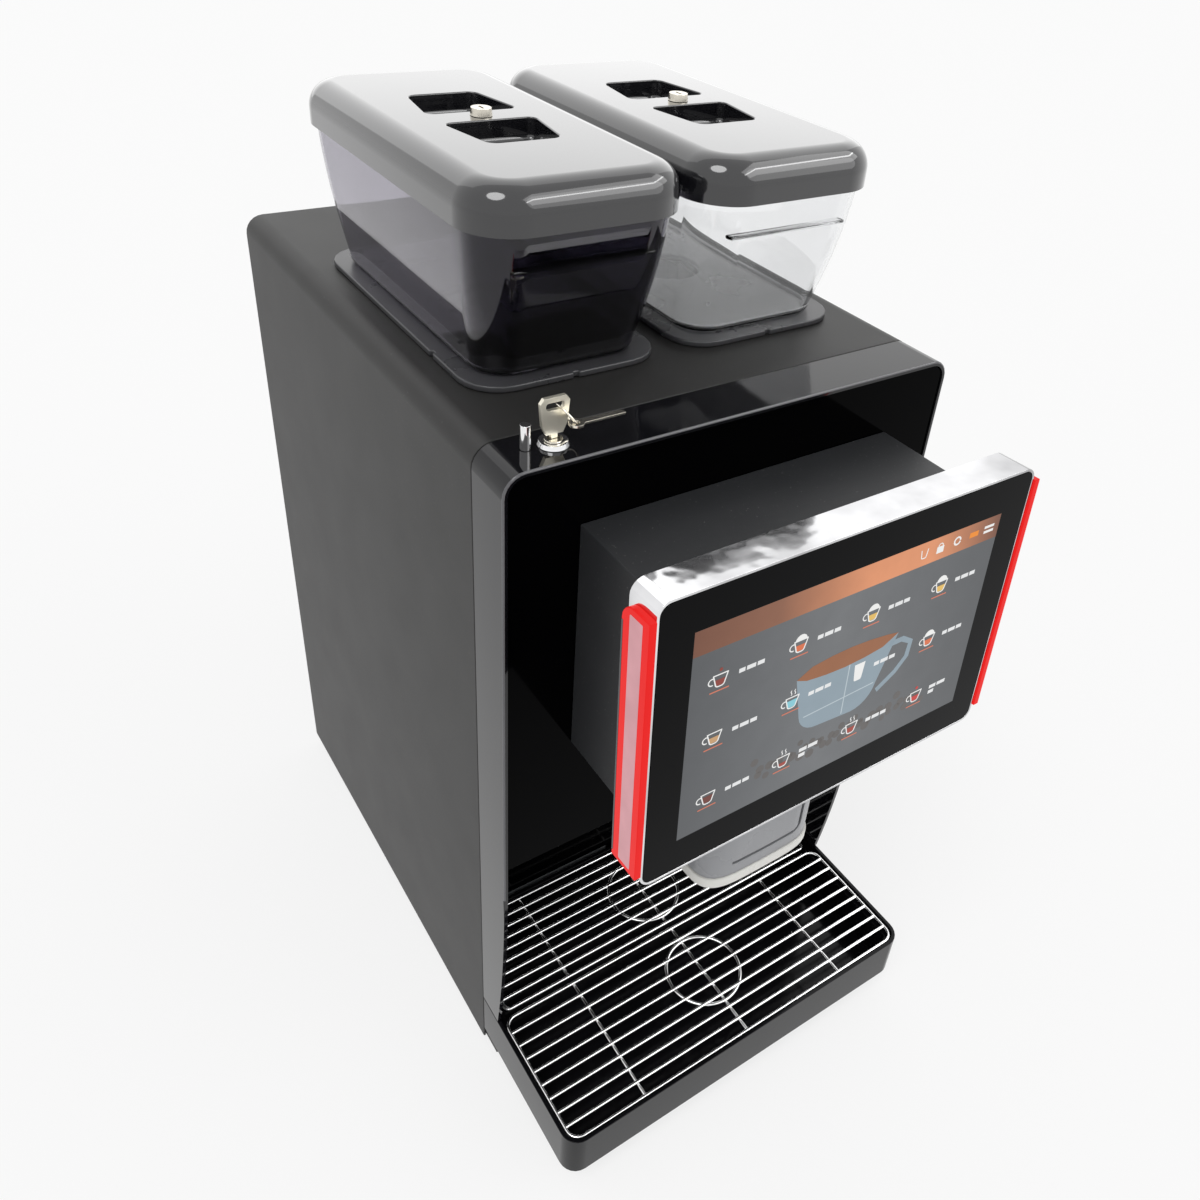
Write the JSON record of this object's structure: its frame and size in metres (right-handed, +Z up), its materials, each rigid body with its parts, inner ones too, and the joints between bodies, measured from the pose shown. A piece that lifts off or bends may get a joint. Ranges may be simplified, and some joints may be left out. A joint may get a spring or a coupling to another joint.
{
  "type": "hot coffee vending machine",
  "caption": "Table-top bean-to-cup machine with a touch-screen door, twin canisters, sliding spout and pull-out drip tray.",
  "frame": {"origin": "centre of the overall footprint, on the plane of the four feet's undersides", "axes": "+Z up, -Y towards the user (display and drip tray side), +X to the user's right"},
  "size_m": [0.333, 0.5476, 0.706],
  "materials": {
    "powder_coat": "matte charcoal powder coat",
    "gloss_black": "high-gloss black moulding",
    "satin_black": "satin black moulding",
    "bright_chrome": "polished",
    "nickel": "nickel plated",
    "zinc_sheet": "zinc-plated sheet steel",
    "stainless": "stainless steel",
    "cast_alloy": "bare cast and turned alloy",
    "touch_glass": "black-backed touch glass",
    "screen": "lit colour screen",
    "light_red": "translucent red light guide",
    "smoked_clear": "smoked clear plastic",
    "water_clear": "clear plastic",
    "spout_grey": "satin grey moulding",
    "rubber": "moulded rubber",
    "circuit_green": "lacquered circuit board",
    "warm_white": "natural white moulding",
    "food_grey": "grey food-safe moulding"
  },
  "bodies": {
    "cabinet": {"cabinet_wrap": "powder_coat", "rear_panel": "powder_coat", "base_pan": "powder_coat", "niche_liner": "gloss_black", "mains_inlet": "gloss_black", "hopper_flange_left": "satin_black", "hopper_flange_right": "satin_black", "fan_housing": "satin_black", "power_supply": "satin_black", "water_inlet": "nickel", "service_deck": "zinc_sheet", "cabinet_hinge_upper": "zinc_sheet", "cabinet_hinge_lower": "zinc_sheet", "grinder_motor": "cast_alloy", "pump": "cast_alloy", "boiler": "cast_alloy", "grinder_head": "cast_alloy", "whipper_motor": "satin_black", "foot_front_left": "rubber", "foot_front_right": "rubber", "foot_rear_left": "rubber", "foot_rear_right": "rubber", "control_board": "circuit_green", "brew_chamber": "warm_white", "powder_feeder": "food_grey", "mixing_bowl": "food_grey", "grounds_bin": "food_grey"},
    "door": {"door_shell": "gloss_black", "front_panel": "gloss_black", "door_cover": "zinc_sheet", "door_hinge_upper": "zinc_sheet", "door_hinge_lower": "zinc_sheet", "display_box": "powder_coat", "display_bezel": "bright_chrome", "touch_glass": "touch_glass", "lcd_panel": "screen", "light_bar_left": "light_red", "light_bar_right": "light_red", "lock_body": "bright_chrome"},
    "lock": {"lock_plug": "nickel", "key": "nickel"},
    "key_bunch": {"key_ring": "nickel", "spare_key": "nickel"},
    "release_pin": {"release_pin": "bright_chrome"},
    "spout": {"spout_housing": "spout_grey", "twin_outlet": "satin_black"},
    "canister_left": {"hopper_container_left": "smoked_clear"},
    "canister_right": {"hopper_container_right": "water_clear"},
    "lid_left": {"hopper_lid_left": "gloss_black"},
    "lid_right": {"hopper_lid_right": "gloss_black"},
    "lid_lock_left": {"lid_lock_left": "nickel"},
    "lid_lock_right": {"lid_lock_right": "nickel"},
    "drip_tray": {"drip_tray": "gloss_black"},
    "front_grille": {"grille_front": "bright_chrome"},
    "rear_grille": {"grille_rear": "bright_chrome"},
    "burr": {"grinder_burr": "stainless"},
    "auger": {"powder_auger": "warm_white"},
    "whipper": {"whipper": "warm_white"},
    "fan_rotor": {"fan_rotor": "satin_black"},
    "brew_piston": {"brew_piston": "stainless"}
  },
  "joints": [
    {"name": "door_hinge", "type": "hinge", "parent": "cabinet", "child": "door", "pos_m": [0.1595, -0.1317, 0.26], "axis": [0, 0, 1], "range_deg": [0, 90]},
    {"name": "lock_turn", "type": "hinge", "parent": "door", "child": "lock", "pos_m": [-0.126, -0.1422, 0.574], "axis": [0, 0, 1], "range_deg": [0, 90]},
    {"name": "key_ring_swing", "type": "hinge", "parent": "lock", "child": "key_bunch", "pos_m": [-0.1225, -0.1422, 0.5965], "axis": [0, -1, 0], "range_deg": [0, 60]},
    {"name": "release_pin_push", "type": "slide", "parent": "door", "child": "release_pin", "axis": [0, 0, -1], "range_m": [0, 0.005], "stiffness_N_per_m": 200, "springref_m": -0.003},
    {"name": "spout_height", "type": "slide", "parent": "door", "child": "spout", "axis": [0, 0, -1], "range_m": [0, 0.06]},
    {"name": "canister_left_lift", "type": "slide", "parent": "cabinet", "child": "canister_left", "axis": [0, 0, 1], "range_m": [0, 0.1]},
    {"name": "canister_right_lift", "type": "slide", "parent": "cabinet", "child": "canister_right", "axis": [0, 0, 1], "range_m": [0, 0.1]},
    {"name": "lid_left_lift", "type": "slide", "parent": "canister_left", "child": "lid_left", "axis": [0, 0, 1], "range_m": [0, 0.08]},
    {"name": "lid_right_lift", "type": "slide", "parent": "canister_right", "child": "lid_right", "axis": [0, 0, 1], "range_m": [0, 0.08]},
    {"name": "lid_lock_left_turn", "type": "hinge", "parent": "lid_left", "child": "lid_lock_left", "pos_m": [-0.0745, 0.0438, 0.698], "axis": [0, 0, 1], "range_deg": [0, 90]},
    {"name": "lid_lock_right_turn", "type": "hinge", "parent": "lid_right", "child": "lid_lock_right", "pos_m": [0.0745, 0.0438, 0.698], "axis": [0, 0, 1], "range_deg": [0, 90]},
    {"name": "drip_tray_pull", "type": "slide", "parent": "cabinet", "child": "drip_tray", "axis": [0, -1, 0], "range_m": [0, 0.13]},
    {"name": "front_grille_lift", "type": "slide", "parent": "drip_tray", "child": "front_grille", "axis": [0, 0, 1], "range_m": [0, 0.04]},
    {"name": "rear_grille_lift", "type": "slide", "parent": "drip_tray", "child": "rear_grille", "axis": [0, 0, 1], "range_m": [0, 0.04]},
    {"name": "burr_spin", "type": "hinge", "parent": "cabinet", "child": "burr", "pos_m": [-0.0745, 0.0438, 0.514], "axis": [0, 0, 1], "continuous": true},
    {"name": "auger_spin", "type": "hinge", "parent": "cabinet", "child": "auger", "pos_m": [0.0745, -0.0472, 0.537], "axis": [0, 1, 0], "continuous": true},
    {"name": "whipper_spin", "type": "hinge", "parent": "cabinet", "child": "whipper", "pos_m": [0.0745, -0.0612, 0.393], "axis": [0, 1, 0], "continuous": true},
    {"name": "fan_spin", "type": "hinge", "parent": "cabinet", "child": "fan_rotor", "pos_m": [0.085, 0.25, 0.48], "axis": [0, 1, 0], "continuous": true},
    {"name": "brew_piston_stroke", "type": "slide", "parent": "cabinet", "child": "brew_piston", "axis": [0, 0, -1], "range_m": [0, 0.06]}
  ]
}
